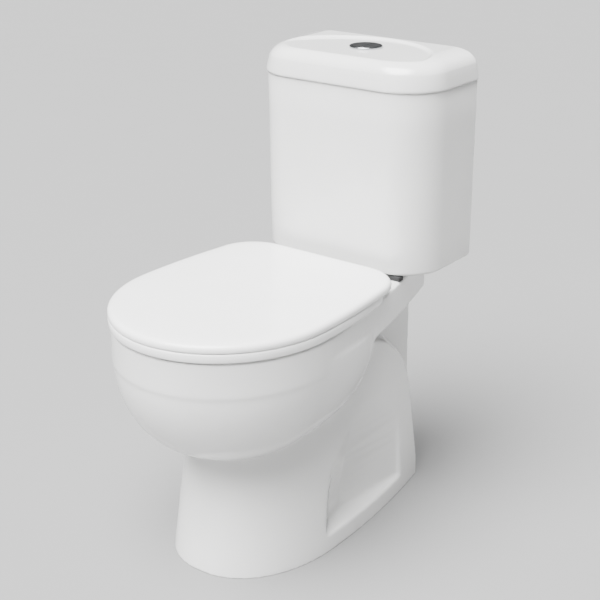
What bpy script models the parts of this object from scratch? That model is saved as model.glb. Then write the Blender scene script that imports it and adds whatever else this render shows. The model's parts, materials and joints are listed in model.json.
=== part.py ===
"""Close coupled toilet: pan, cistern with dual flush valve and fill valve, and a hinged seat.

Metres, +Z up, floor at z = 0. The back of the cistern stands on the wall plane, at +Y, and the
bowl points towards -Y. Most lengths along Y are given as a distance in front of the wall.
"""

import math

import bmesh
import bpy
from mathutils import Matrix, Vector

# ---- overall ----
REACH = 0.625            # wall to the front of the seat
DECK_Z = 0.410           # top of the pan's rim and of the shelf that carries the cistern
RIM_HALF = 0.178         # half the pan's width at its rim
RIM_FRONT = 0.621        # wall to the front of the rim
WIDEST = 0.433           # wall to where rim and seat are widest
RIM_BAND = 0.060         # height of the upright band round rim and shelf
SHELF_REAR = 0.015       # wall to the back of the shelf
SHELF_REAR_HALF = 0.092
RIM_BEVEL = 0.005
CHINA = 0.012            # general wall of the china
GAP = 0.0003             # between pieces that rest on each other

# ---- bowl ----
BOWL_BAND_Z = 0.368      # where the outside starts to turn under
BOWL_LOW_Z = 0.185
BOWL_REAR = 0.240        # length of the egg behind its widest line
BOWL_POWER = 2.3
MOUTH_HALF = 0.128
MOUTH_FRONT = 0.148
MOUTH_REAR = 0.140
UNDER_RIM = 1.09         # how much wider the basin is below its rim
SUMP_Z = 0.150
SUMP_TOP = 0.206         # where bowl and trap part
SUMP_STEPS = ((0.195, 0.50, 0.030), (0.168, 0.36, 0.038), (SUMP_Z, 0.22, 0.040))

# ---- pedestal ----
FOOT_HALF = 0.134
FOOT_WIDEST = 0.334
FOOT_FRONT = 0.525
FOOT_REAR = 0.040
FOOT_REAR_HALF = 0.104
WAIST_Z = 0.215
WAIST_HALF = 0.112
WAIST_FRONT = 0.490
WAIST_REAR_HALF = 0.099
NECK_HALF = 0.077
NECK_REAR = 0.035
LEDGE_Z = 0.030          # top of the foot ledge in each side recess
RECESS_FRONT, RECESS_DEEP, RECESS_REAR = 0.354, 0.264, 0.135
RECESS_HALF = 0.093      # half width left between the two recesses

# ---- trap and flush way ----
TRAP_R = 0.026
TRAP_WALL = 0.010
TRAP_WEIR_Z = 0.268
OUTLET_D = 0.115         # wall to the centre of the floor outlet
OUTLET_Z = 0.020
DUCT_HALF = 0.030
DUCT_LOW, DUCT_HIGH = 0.340, 0.378

# ---- cistern ----
TANK_GAP = 0.009         # shelf to cistern
TANK_HEIGHT = 0.303
TANK_WIDTH = 0.337
TANK_BASE_WIDTH = 0.335
TANK_DEPTH = 0.173
TANK_BASE_DEPTH = 0.165
TANK_CORNER = 0.076
TANK_WALL = 0.009
TANK_FLOOR = 0.012
TANK_EDGE = 0.006
LID_HEIGHT = 0.048
LID_OVERHANG = 0.002
LID_SHOULDER = 0.030
LID_WALL = 0.008
LIP_DEPTH = 0.012
LIP_CLEARANCE = 0.0015
DISH_HALF = 0.136
DISH_WIDEST = 0.116      # wall to where the dish is widest
DISH_REAR = 0.104
DISH_FRONT = 0.046
DISH_DEPTH = 0.004
VALVE_D = 0.085          # wall to the line of outlet, bolts and fill valve
BOLT_X = 0.080
FILL_X = -0.128
FLOAT_X = -0.072

# ---- buttons ----
BUTTON_D = 0.078
BEZEL_R = 0.0275
BEZEL_SLEEVE_R = 0.0255
BUTTON_PLAY = 0.0005
BEZEL_TALL = 0.004
SLEEVE_WALL = 0.0016
SLEEVE_DEPTH = 0.038
PRESS = 0.007
ROD_X = 0.0095
ROD_R = 0.0028
ROD_PLAY = 0.0006
SPLIT = 0.0005
CHEVRON = 0.005

# ---- flush valve ----
OUTLET_BORE = 0.022
TAIL_R = 0.0265
TAIL_DROP = 0.032
FLANGE_R = 0.034
SEAT_TALL = 0.010
CAGE_R = 0.031
CAGE_WALL = 0.0025
CAGE_TOP = 0.640
CAGE_HEAD = 0.005
CORE_R = 0.011
CORE_WALL = 0.0025
CORE_TOP = 0.600
CORE_LIFT = 0.0175

# ---- close coupling ----
BACKNUT_R = 0.0335
DOUGHNUT_R = 0.043
COUPLING_BOLT_R = 0.004
BOLT_HOLE_R = 0.006
STRIP_HALF = 0.122
STRIP_DEPTH = 0.012
STRIP_SETBACK = 0.005

# ---- seat ----
SEAT_HALF = 0.180
SEAT_REAR = 0.191        # wall to the back of the cover
SEAT_REAR_HALF = 0.168
SEAT_CORNER = 0.072
RING_LIFT = 0.0025       # buffers hold the ring this far off the rim
RING_THICK = 0.0145
RING_SETBACK = 0.022     # from the back of the cover to the back of the ring
RING_HOLE_HALF = 0.112
RING_HOLE_FRONT = 0.140
RING_HOLE_REAR = 0.128
COVER_GAP = 0.0008
COVER_TALL = 0.0135
COVER_DOME = 0.0025
COVER_WALL = 0.003
COVER_PLATE = 0.0045
HINGE_X = 0.0775
HINGE_D = 0.201
HINGE_Z = 0.423
PIN_R = 0.003
PIN_PLAY = 0.0002
BARREL_R = 0.0065
BARREL_HALF = 0.0075
LUG = 0.0087
POST_FOOT_R = 0.0105

MATERIALS = {
    "china": ((0.90, 0.90, 0.89), 0.12, 0.0),
    "seat_plastic": ((0.92, 0.92, 0.91), 0.22, 0.0),
    "chrome": ((0.80, 0.80, 0.81), 0.12, 1.0),
    "white_plastic": ((0.85, 0.86, 0.86), 0.35, 0.0),
    "grey_plastic": ((0.42, 0.45, 0.48), 0.40, 0.0),
    "blue_plastic": ((0.10, 0.24, 0.50), 0.40, 0.0),
    "rubber": ((0.03, 0.03, 0.03), 0.70, 0.0),
    "brass": ((0.70, 0.52, 0.26), 0.30, 1.0),
    "zinc_steel": ((0.62, 0.63, 0.64), 0.35, 1.0),
}

ROUND = 24               # sides of a turned piece
TANK_Z = DECK_Z + TANK_GAP
TANK_TOP = TANK_Z + TANK_HEIGHT
TANK_FLOOR_Z = TANK_Z + TANK_FLOOR
LID_TOP = TANK_TOP + LID_HEIGHT
DISH_Z = LID_TOP - DISH_DEPTH
RING_Z = DECK_Z + RING_LIFT
RING_TOP = RING_Z + RING_THICK
COVER_Z = RING_TOP + COVER_GAP
COVER_EDGE_TOP = COVER_Z + COVER_TALL
BEZEL_TOP = DISH_Z + GAP + BEZEL_TALL
BUTTON_R = BEZEL_SLEEVE_R - SLEEVE_WALL - BUTTON_PLAY
SIDES = (("left", -1), ("right", 1))


def at(distance):
    """Y of a point this far in front of the wall."""
    return REACH / 2 - distance


# ---------------------------------------------------------------- building blocks

def clear_scene():
    for old in list(bpy.data.objects):
        bpy.data.objects.remove(old, do_unlink=True)


def material(name):
    made = bpy.data.materials.get(name)
    if made is None:
        colour, roughness, metallic = MATERIALS[name]
        made = bpy.data.materials.new(name)
        made.use_nodes = True
        shader = made.node_tree.nodes["Principled BSDF"]
        shader.inputs["Base Color"].default_value = (*colour, 1.0)
        shader.inputs["Roughness"].default_value = roughness
        shader.inputs["Metallic"].default_value = metallic
        made.diffuse_color = (*colour, 1.0)
    return made


def solid(name, points, faces, finish=None):
    mesh = bpy.data.meshes.new(name)
    mesh.from_pydata([tuple(point) for point in points], [], faces)
    work = bmesh.new()
    work.from_mesh(mesh)
    bmesh.ops.recalc_face_normals(work, faces=work.faces)
    work.to_mesh(mesh)
    work.free()
    made = bpy.data.objects.new(name, mesh)
    bpy.context.scene.collection.objects.link(made)
    if finish:
        mesh.materials.append(material(finish))
    return made


def loft(name, loops, finish=None, ring=False):
    """Skin over closed loops of equally many points. A ring joins its last loop to its first."""
    count = len(loops[0])
    points = [point for loop in loops for point in loop]
    faces = []
    for row in range(len(loops) - (0 if ring else 1)):
        near, far = row * count, (row + 1) % len(loops) * count
        for i in range(count):
            j = (i + 1) % count
            faces.append((near + i, near + j, far + j, far + i))
    if not ring:
        faces.append(tuple(range(count)))
        faces.append(tuple(range((len(loops) - 1) * count, len(loops) * count)))
    return solid(name, points, faces, finish)


def turned(name, profile, centre, finish=None, axis="Z", sides=ROUND):
    """Solid of revolution of (radius, height) corners; it is a tube if none lies on the axis."""
    spin = {"Z": Matrix.Identity(3),
            "X": Matrix.Rotation(math.radians(90), 3, "Y"),
            "Y": Matrix.Rotation(math.radians(-90), 3, "X")}[axis]
    tube = all(radius > 0 for radius, _ in profile)
    points, rows = [], []
    for radius, height in profile:
        if radius == 0:
            rows.append([len(points)])
            points.append(spin @ Vector((0, 0, height)) + Vector(centre))
            continue
        rows.append(list(range(len(points), len(points) + sides)))
        for i in range(sides):
            turn = 2 * math.pi * (i + 0.5) / sides
            spot = Vector((radius * math.cos(turn), radius * math.sin(turn), height))
            points.append(spin @ spot + Vector(centre))
    faces = []
    pairs = list(zip(rows, rows[1:])) + ([(rows[-1], rows[0])] if tube else [])
    for low, high in pairs:
        for i in range(sides):
            j = (i + 1) % sides
            if len(low) == 1:
                faces.append((low[0], high[j], high[i]))
            elif len(high) == 1:
                faces.append((low[i], low[j], high[0]))
            else:
                faces.append((low[i], low[j], high[j], high[i]))
    return solid(name, points, faces, finish)


def rod(name, radius, low, high, centre, finish=None, axis="Z", sides=ROUND):
    profile = [(0, low), (radius, low), (radius, high), (0, high)]
    return turned(name, profile, centre, finish, axis, sides)


def washer(name, inner, outer, low, high, x, distance, finish, sides=ROUND):
    profile = [(inner, low), (outer, low), (outer, high), (inner, high)]
    return turned(name, profile, (x, at(distance), 0), finish, sides=sides)


def block(name, x, distance, z, finish=None):
    """Box from pairs of limits; the second pair is measured from the wall."""
    corners = [(i, at(j), k) for k in z for i, j in
               ((x[0], distance[0]), (x[1], distance[0]), (x[1], distance[1]), (x[0], distance[1]))]
    return loft(name, [corners[:4], corners[4:]], finish)


def side_prism(name, outline, x, finish=None):
    """Outline of (distance, z) corners, pulled along X between two limits."""
    return loft(name, [[(side, at(d), z) for d, z in outline] for side in x], finish)


def settle(target):
    """Replaces the object's mesh by its evaluated one and drops its modifiers."""
    bpy.context.view_layer.update()
    graph = bpy.context.evaluated_depsgraph_get()
    mesh = bpy.data.meshes.new_from_object(target.evaluated_get(graph))
    target.modifiers.clear()
    target.data = mesh
    return target


def combine(target, operation, *tools):
    for tool in tools:
        step = target.modifiers.new(operation.lower(), "BOOLEAN")
        step.operation = operation
        step.solver = "EXACT"
        step.object = tool
        settle(target)
        bpy.data.objects.remove(tool, do_unlink=True)
    return target


def join(target, *tools):
    return combine(target, "UNION", *tools)


def cut(target, *tools):
    return combine(target, "DIFFERENCE", *tools)


def smooth(target, angle=35):
    target.data.shade_smooth()
    target.data.set_sharp_from_angle(angle=math.radians(angle))
    return target


# ---------------------------------------------------------------- outlines in plan

def mirror(half):
    """Whole loop from a half outline that starts and ends on the centre line."""
    return half + [(-x, d) for x, d in reversed(half[1:-1])]


def level(loop, z):
    return [(x, at(d), z) for x, d in loop]


def inset(loop, amount):
    """Moves each side of a loop inwards by the amount."""
    area = sum(a[0] * b[1] - b[0] * a[1] for a, b in zip(loop, loop[1:] + loop[:1]))
    turn = 1 if area > 0 else -1
    moved = []
    for i, (x, d) in enumerate(loop):
        before, after = Vector(loop[i - 1]), Vector(loop[(i + 1) % len(loop)])
        one = (Vector((x, d)) - before).normalized()
        two = (after - Vector((x, d))).normalized()
        first, second = Vector((-one.y, one.x)) * turn, Vector((-two.y, two.x)) * turn
        between = (first + second).normalized()
        reach = amount / max(between.dot(first), 0.5)
        moved.append((x + between.x * reach, d + between.y * reach))
    return moved


def arc(x, d, radius, start, end, count):
    turns = [math.radians(start + (end - start) * i / count) for i in range(count + 1)]
    return [(x + radius * math.cos(turn), d + radius * math.sin(turn)) for turn in turns]


def d_shape(half, widest, front, rear, rear_half, corner, shrink=0.0, ease=2.0, power=2.0,
            steps=(3, 5, 11)):
    """Half outline with a straight back, rounded rear corners, easing sides and an oval front."""
    corner_steps, side_steps, front_steps = steps
    half, front, rear, rear_half = half - shrink, front - shrink, rear + shrink, rear_half - shrink
    corner = max(corner - shrink, 0.003)
    points = [(0, rear)] + arc(rear_half - corner, rear + corner, corner, -90, 0, corner_steps)
    start = rear + corner
    for i in range(1, side_steps):
        d = start + (widest - start) * i / side_steps
        left = (widest - d) / (widest - start)
        points.append((half - (half - rear_half) * left ** ease, d))
    for i in range(front_steps + 1):
        turn = math.pi / 2 * i / front_steps
        x = half * max(math.cos(turn), 0) ** (2 / power) if i < front_steps else 0
        points.append((x, widest + (front - widest) * math.sin(turn) ** (2 / power)))
    return points


def egg(half, centre, front_long, rear_long, rear_power=2.0, steps=8):
    """Half outline of an egg, from its back to its front."""
    points = []
    for i in range(steps + 1):
        turn = math.pi / 2 * i / steps
        x = half * math.sin(turn) ** (2 / rear_power)
        points.append((x, centre - rear_long * max(math.cos(turn), 0) ** (2 / rear_power)))
    for i in range(1, steps + 1):
        turn = math.pi / 2 * i / steps
        x = half * math.cos(turn) if i < steps else 0
        points.append((x, centre + front_long * math.sin(turn)))
    return points


def tank_shape(width, depth, corner, back=0.0, edge=0.003, steps=6):
    """Half outline with small back corners and large front ones."""
    half = width / 2
    points = [(0, back)] + arc(half - edge, back + edge, edge, -90, 0, 2)
    return points + arc(half - corner, depth - corner, corner, 0, 90, steps) + [(0, depth)]


# ---------------------------------------------------------------- pan

def rim_loop(shrink=0.0):
    return mirror(d_shape(RIM_HALF, WIDEST, RIM_FRONT, SHELF_REAR, SHELF_REAR_HALF, 0.010, shrink,
                          ease=1.5))


def bowl_loop(z, shrink):
    """Section of the bowl's outside, which turns under like the end of an egg."""
    down = (BOWL_BAND_Z - z) / (BOWL_BAND_Z - BOWL_LOW_Z)
    size = (1 - max(down, 0) ** BOWL_POWER) ** (1 / BOWL_POWER)
    half = (RIM_HALF - 0.001) * size - shrink
    return mirror(egg(half, WIDEST, (RIM_FRONT - 0.001 - WIDEST) * size - shrink,
                      BOWL_REAR * size - shrink, 3.0))


def basin_loop(scale, slide, grow=0.0):
    half = egg(MOUTH_HALF * scale, WIDEST - slide, MOUTH_FRONT * scale, MOUTH_REAR * scale)
    loop = mirror(half)
    return inset(loop, -grow) if grow else loop


def basin(name):
    """Inside of the bowl: mouth, undercut below the rim, and the slope down to the sump."""
    steps = ((DECK_Z + 0.02, 1.0, 0), (0.374, 1.0, 0), (0.368, UNDER_RIM, 0), (0.330, 1.06, 0.002),
             (0.280, 0.92, 0.008), (0.235, 0.72, 0.018)) + SUMP_STEPS
    return loft(name, [level(basin_loop(scale, slide), z) for z, scale, slide in steps])


def sump(name, grow, longer=0.0):
    """Outside of the basin's foot, which hangs below the bowl."""
    top = basin_loop(0.56, 0.027, grow)
    loops = [level(top, SUMP_TOP + longer)] if longer else []
    loops.append(level(top, SUMP_TOP))
    for z, scale, slide in SUMP_STEPS:
        loops.append(level(basin_loop(scale, slide, grow), z - (grow if z == SUMP_Z else 0)))
    return loft(name, loops)


def pedestal_loop(z, shrink):
    up = min(max(z, 0) / WAIST_Z, 1.0)

    def blend(low, high):
        return low + (high - low) * up

    return mirror(d_shape(blend(FOOT_HALF, WAIST_HALF), FOOT_WIDEST, blend(FOOT_FRONT, WAIST_FRONT),
                          FOOT_REAR, blend(FOOT_REAR_HALF, WAIST_REAR_HALF), 0.010, shrink,
                          power=2.2))


def trap_path():
    """Centre line from the sump over the weir and down to the floor outlet, as (distance, z)."""
    return [(0.392, 0.182), (0.370, 0.158), (0.340, 0.150), (0.308, 0.160), (0.276, 0.190),
            (0.246, 0.226), (0.214, 0.256), (0.180, TRAP_WEIR_Z), (0.148, 0.258), (0.126, 0.230),
            (OUTLET_D, 0.190), (OUTLET_D, OUTLET_Z)]


def trap(name, radius, longer=0.0):
    path = trap_path()
    path[-1] = (OUTLET_D, OUTLET_Z - longer)
    loops = []
    for i, (d, z) in enumerate(path):
        before, after = path[max(i - 1, 0)], path[min(i + 1, len(path) - 1)]
        run = Vector((after[0] - before[0], after[1] - before[1])).normalized()
        loop = []
        for k in range(16):
            turn = 2 * math.pi * k / 16
            across, along = radius * math.cos(turn), radius * math.sin(turn)
            loop.append((across, at(d - run.y * along), z + run.x * along))
        loops.append(loop)
    return loft(name, loops)


def side_recess(side, grow):
    """Wedge cut out of the pedestal's side, above the foot ledge. It fades out upwards."""
    loops = []
    for z, inner, deep in ((LEDGE_Z - grow, RECESS_HALF, RECESS_DEEP),
                           (0.135, RECESS_HALF + 0.002, 0.260),
                           (0.205 + grow, WAIST_HALF + 0.004, 0.255)):
        inner, front, rear = inner - grow, FOOT_HALF - 0.006 - grow, FOOT_HALF - 0.019 - grow
        loops.append([(side * inner, at(deep), z), (side * rear, at(RECESS_REAR - grow), z),
                      (side * 0.2, at(RECESS_REAR - grow), z),
                      (side * 0.2, at(RECESS_FRONT + grow), z),
                      (side * front, at(RECESS_FRONT + grow), z)])
    return loft("recess", loops)


def pedestal(name, shrink=0.0):
    """Foot and column, cut to the arch of the trap at the back, with the narrow neck behind."""
    heights = (-shrink, 0.05, 0.10, 0.15, WAIST_Z, DECK_Z - RIM_BAND + 0.006 + shrink * 0.3)
    body = loft(name, [level(pedestal_loop(z, shrink), z) for z in heights], "china")
    arch = [(0.7, -0.03), (0.7, 0.38), (0.29, 0.38), (0.25, 0.352), (0.215, 0.338),
            (0.185, 0.326), (0.150, 0.306), (0.117, 0.279), (0.089, 0.244), (0.072, 0.208),
            (0.062, 0.17), (0.052, 0.10), (0.030, -0.03)]
    arch = arch[:2] + [(d + shrink * 0.7, z - shrink * 0.7) for d, z in arch[2:]]
    combine(body, "INTERSECT", side_prism("arch", arch, (-0.3, 0.3)))
    neck = mirror(d_shape(NECK_HALF, 0.16, 0.262, NECK_REAR, NECK_HALF - 0.001, 0.016, shrink,
                          steps=(3, 2, 4)))
    join(body, loft("neck", [level(neck, -shrink * 1.5), level(neck, DECK_Z - RIM_BAND + 0.01)]))
    return cut(body, side_recess(-1, shrink), side_recess(1, shrink))


def shelf_and_rim(grow=0.0):
    low = DECK_Z - RIM_BAND - grow
    loops = [level(rim_loop(0.003 - grow), low), level(rim_loop(-grow), low + 0.004),
             level(rim_loop(-grow), DECK_Z - RIM_BEVEL), level(rim_loop(RIM_BEVEL - grow), DECK_Z)]
    return loft("pan", loops, "china")


def bowl_outside(grow=0.0):
    heights = (BOWL_BAND_Z + 0.004, 0.352, 0.330, 0.305, 0.280, 0.256, 0.235, 0.217, 0.204,
               0.196 - grow)
    return loft("bowl", [level(bowl_loop(z, -grow), z) for z in heights])


def shelf_pocket(side):
    """Hollow under the shelf, outside the neck's walls, where the wing nuts are turned."""
    rear, front = SHELF_REAR + CHINA, 0.222
    loop = [(NECK_HALF, rear), (SHELF_REAR_HALF - CHINA, rear), (0.116, front), (NECK_HALF, front)]
    loop = [(side * x, d) for x, d in loop]
    return loft("pocket", [level(loop, DECK_Z - RIM_BAND - 0.01), level(loop, DECK_Z - CHINA)])


def nut_pocket(side):
    return rod("nut_pocket", 0.0175, DECK_Z - RIM_BAND - 0.018, DECK_Z - CHINA,
               (side * BOLT_X, at(VALVE_D), 0), sides=16)


def make_pan():
    """Rim, shelf and bowl. The casting is parted from its foot and its trap."""
    pan = join(shelf_and_rim(), bowl_outside())
    inside = NECK_HALF - CHINA
    cut(pan, block("neck", (-inside, inside), (NECK_REAR + CHINA, 0.25),
                   (DECK_Z - RIM_BAND - 0.02, DECK_Z - CHINA)),
        shelf_pocket(-1), shelf_pocket(1))
    duct = DUCT_HALF + CHINA
    join(pan, block("duct", (-duct, duct), (NECK_REAR + CHINA + GAP, 0.285),
                    (DUCT_LOW - CHINA * 0.7, DECK_Z - 0.006)))
    cut(pan, trap("trap_room", TRAP_R + TRAP_WALL + GAP), sump("sump_room", CHINA + GAP, 0.001),
        basin("basin"),
        block("flush_way", (-DUCT_HALF, DUCT_HALF), (0.052, 0.32), (DUCT_LOW, DUCT_HIGH)),
        rod("inlet", BACKNUT_R + 0.002, DUCT_LOW + 0.01, DECK_Z + 0.02, (0, at(VALVE_D), 0)))
    for _, side in SIDES:
        cut(pan, nut_pocket(side),
            rod("hinge_pocket", 0.0115, DECK_Z - RIM_BAND - 0.01, DECK_Z - CHINA,
                (side * HINGE_X, at(HINGE_D), 0), sides=16),
            rod("bolt_hole", BOLT_HOLE_R, 0.37, DECK_Z + 0.02, (side * BOLT_X, at(VALVE_D), 0),
                sides=12),
            rod("seat_hole", 0.0055, 0.37, DECK_Z + 0.02,
                (side * HINGE_X, at(HINGE_D), 0), sides=12))
    return smooth(pan)


def make_pedestal():
    """Hollow foot, open at the floor and at the top where bowl and trap sit in it."""
    foot = pedestal("pedestal")
    cut(foot, pedestal("hollow", CHINA), bowl_outside(GAP), shelf_and_rim(GAP),
        trap("trap_room", TRAP_R + TRAP_WALL + GAP), sump("sump_room", CHINA + GAP, 0.001),
        nut_pocket(-1), nut_pocket(1))
    return smooth(foot)


def make_trapway():
    """Sump and trap, from the bowl's foot over the weir and down to the outlet."""
    trapway = trap("trapway", TRAP_R + TRAP_WALL)
    trapway.data.materials.append(material("china"))
    join(trapway, sump("sump_wall", CHINA))
    cut(trapway, basin("basin"), trap("trap_bore", TRAP_R, longer=0.03))
    return smooth(trapway)


# ---------------------------------------------------------------- cistern

def tank_loop(up, shrink=0.0):
    """Outline of the cistern at a share of its height."""
    width = TANK_BASE_WIDTH + (TANK_WIDTH - TANK_BASE_WIDTH) * up
    depth = TANK_BASE_DEPTH + (TANK_DEPTH - TANK_BASE_DEPTH) * up
    corner = TANK_CORNER - (1 - up) * 0.006 - shrink
    return mirror(tank_shape(width - 2 * shrink, depth - shrink, corner, shrink))


def make_tank():
    loops = [level(tank_loop(0, TANK_EDGE), TANK_Z),
             level(tank_loop(0, TANK_EDGE * 0.3), TANK_Z + TANK_EDGE * 0.3),
             level(tank_loop(0.02), TANK_Z + TANK_EDGE), level(tank_loop(1), TANK_TOP)]
    tank = loft("cistern_tank", loops, "china")
    inside = [level(tank_loop(0, TANK_WALL), TANK_FLOOR_Z),
              level(tank_loop(1, TANK_WALL), TANK_TOP + 0.01)]
    cut(tank, loft("inside", inside),
        rod("outlet", TAIL_R + 0.0015, TANK_Z - 0.02, TANK_FLOOR_Z + 0.02, (0, at(VALVE_D), 0)),
        rod("inlet", 0.0095, TANK_Z - 0.02, TANK_FLOOR_Z + 0.02, (FILL_X, at(VALVE_D), 0), sides=16))
    for _, side in SIDES:
        cut(tank, rod("bolt_hole", BOLT_HOLE_R, TANK_Z - 0.02, TANK_FLOOR_Z + 0.02,
                      (side * BOLT_X, at(VALVE_D), 0), sides=12))
    return smooth(tank)


def lid_loop(shrink_side, shrink_back=0.0, steps=8):
    """Lid outline. Its back stays straight while front and sides draw in over the shoulder."""
    width = TANK_WIDTH + 2 * LID_OVERHANG - 2 * shrink_side
    depth = TANK_DEPTH + LID_OVERHANG - shrink_side * 1.15
    corner = TANK_CORNER + LID_OVERHANG - shrink_side * 0.55
    return mirror(tank_shape(width, depth, corner, shrink_back, 0.004, steps))


def make_lid():
    foot = TANK_TOP + GAP
    rise = LID_TOP - foot
    profile = [(0, 0.0)] + [(LID_SHOULDER * (1 - math.cos(turn)), 0.42 + 0.58 * math.sin(turn))
                            for turn in (math.pi / 2 * i / 6 for i in range(7))]
    loops = [level(lid_loop(draw + 0.001 * up), foot + rise * up) for draw, up in profile]
    lid = loft("cistern_lid", loops, "china")
    under = [level(lid_loop(LID_WALL, LID_WALL), foot - 0.01),
             level(lid_loop(LID_WALL, LID_WALL), foot + rise * 0.45),
             level(lid_loop(LID_WALL + 0.024, LID_WALL), LID_TOP - LID_WALL - DISH_DEPTH)]
    cut(lid, loft("under", under))
    outer = tank_loop(1, TANK_WALL + LIP_CLEARANCE)
    inner = tank_loop(1, TANK_WALL + LIP_CLEARANCE + 0.006)
    lip = [level(outer, foot - LIP_DEPTH), level(outer, foot + 0.012),
           level(inner, foot + 0.012), level(inner, foot - LIP_DEPTH)]
    wide = tank_loop(1, TANK_WALL * 0.5)
    web = [level(wide, foot + 0.0005), level(wide, foot + 0.011),
           level(inner, foot + 0.011), level(inner, foot + 0.0005)]
    join(lid, loft("lip", lip, ring=True), loft("web", web, ring=True))
    dish = []
    for up, grow in ((0.012, 0.012), (DISH_DEPTH, 0), (0, -0.007)):
        oval = egg(DISH_HALF + grow, DISH_WIDEST, DISH_FRONT + grow, DISH_REAR + grow, steps=10)
        dish.append(level(mirror(oval), DISH_Z + up))
    cut(lid, loft("dish", dish),
        rod("hole", BEZEL_SLEEVE_R + 0.0007, TANK_TOP, LID_TOP + 0.02, (0, at(BUTTON_D), 0)))
    return smooth(lid)


# ---------------------------------------------------------------- buttons

def make_bezel():
    """Chrome ring with a threaded sleeve through the lid and a floor that the springs stand on."""
    low = BEZEL_TOP - SLEEVE_DEPTH
    inner = BEZEL_SLEEVE_R - SLEEVE_WALL
    lip = DISH_Z + GAP
    profile = [(0, low), (BEZEL_SLEEVE_R, low), (BEZEL_SLEEVE_R, lip), (BEZEL_R - 0.0005, lip),
               (BEZEL_R, lip + 0.001), (BEZEL_R - 0.0012, BEZEL_TOP), (inner + 0.0006, BEZEL_TOP),
               (inner, BEZEL_TOP - 0.0006), (inner, low + 0.003), (0, low + 0.003)]
    bezel = turned("button_bezel", profile, (0, at(BUTTON_D), 0), "chrome", sides=40)
    for _, side in SIDES:
        cut(bezel, rod("rod_hole", ROD_R + ROD_PLAY, low - 0.01, low + 0.02,
                       (side * ROD_X, at(BUTTON_D), 0), sides=12))
    return smooth(bezel)


def make_bezel_nut():
    high = LID_TOP - LID_WALL - DISH_DEPTH - 2 * GAP
    washer("bezel_nut", BEZEL_SLEEVE_R + GAP, BEZEL_SLEEVE_R + 0.008, high - 0.007, high,
           0, BUTTON_D, "white_plastic")


def button_outline(side, count=18):
    """Half of the round button, parted along a shallow chevron."""
    shift = side * SPLIT / 2
    outline = [(shift, -BUTTON_R)]
    for i in range(1, count):
        turn = math.pi * (i / count - 0.5)
        outline.append((side * BUTTON_R * math.cos(turn), BUTTON_R * math.sin(turn)))
    return outline + [(shift, BUTTON_R), (CHEVRON + shift, 0)]


def make_button(name, side):
    """Pressed half of the button, with its push rod below and the coil spring round the rod."""
    top, low = BEZEL_TOP + 0.0006, BEZEL_TOP - 0.0022
    outline = button_outline(side)
    crown = [(x * 0.96 + side * 0.0002, y * 0.96) for x, y in outline]
    loops = [[(x, at(BUTTON_D) + y, z) for x, y in loop]
             for loop, z in ((outline, low), (outline, top - 0.0006), (crown, top))]
    button = loft(f"{name}_flush_button", loops, "chrome")
    stem = rod("stem", ROD_R, low - 0.006, low + 0.001, (side * ROD_X, at(BUTTON_D), 0), sides=12)
    join(button, stem)
    smooth(button, 30)
    push_low = CAGE_TOP - CAGE_HEAD - 0.004
    make_push_rod(name, side, push_low, low - 0.006 - GAP)
    make_spring(name, side, BEZEL_TOP - SLEEVE_DEPTH + 0.003 + GAP, low - GAP)


def make_push_rod(name, side, low, high):
    """Rod that carries the press down to the valve, cranked back under the valve head."""
    top = rod(f"{name}_push_rod", ROD_R, CAGE_TOP + 0.030, high,
              (side * ROD_X, at(BUTTON_D), 0), "white_plastic", sides=12)
    crank = block("crank", (side * ROD_X - ROD_R, side * ROD_X + ROD_R),
                  (BUTTON_D - ROD_R, VALVE_D + ROD_R), (CAGE_TOP + 0.026, CAGE_TOP + 0.032))
    lower = rod("lower", ROD_R, low, CAGE_TOP + 0.028, (side * ROD_X, at(VALVE_D), 0), sides=12)
    join(top, crank, lower)
    return smooth(top)


def make_spring(name, side, low, high, turns=4, wire=0.0006, radius=0.0046):
    steps, corners = 12 * turns, 6
    loops = []
    for i in range(steps + 1):
        turn = 2 * math.pi * i / 12
        z = low + wire + (high - low - 2 * wire) * i / steps
        loop = []
        for k in range(corners):
            round_ = 2 * math.pi * k / corners
            reach = radius + wire * math.cos(round_)
            loop.append((side * ROD_X + reach * math.cos(turn),
                         at(BUTTON_D) + reach * math.sin(turn), z + wire * math.sin(round_)))
        loops.append(loop)
    return smooth(loft(f"{name}_button_spring", loops, "zinc_steel"))


# ---------------------------------------------------------------- flush valve

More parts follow.
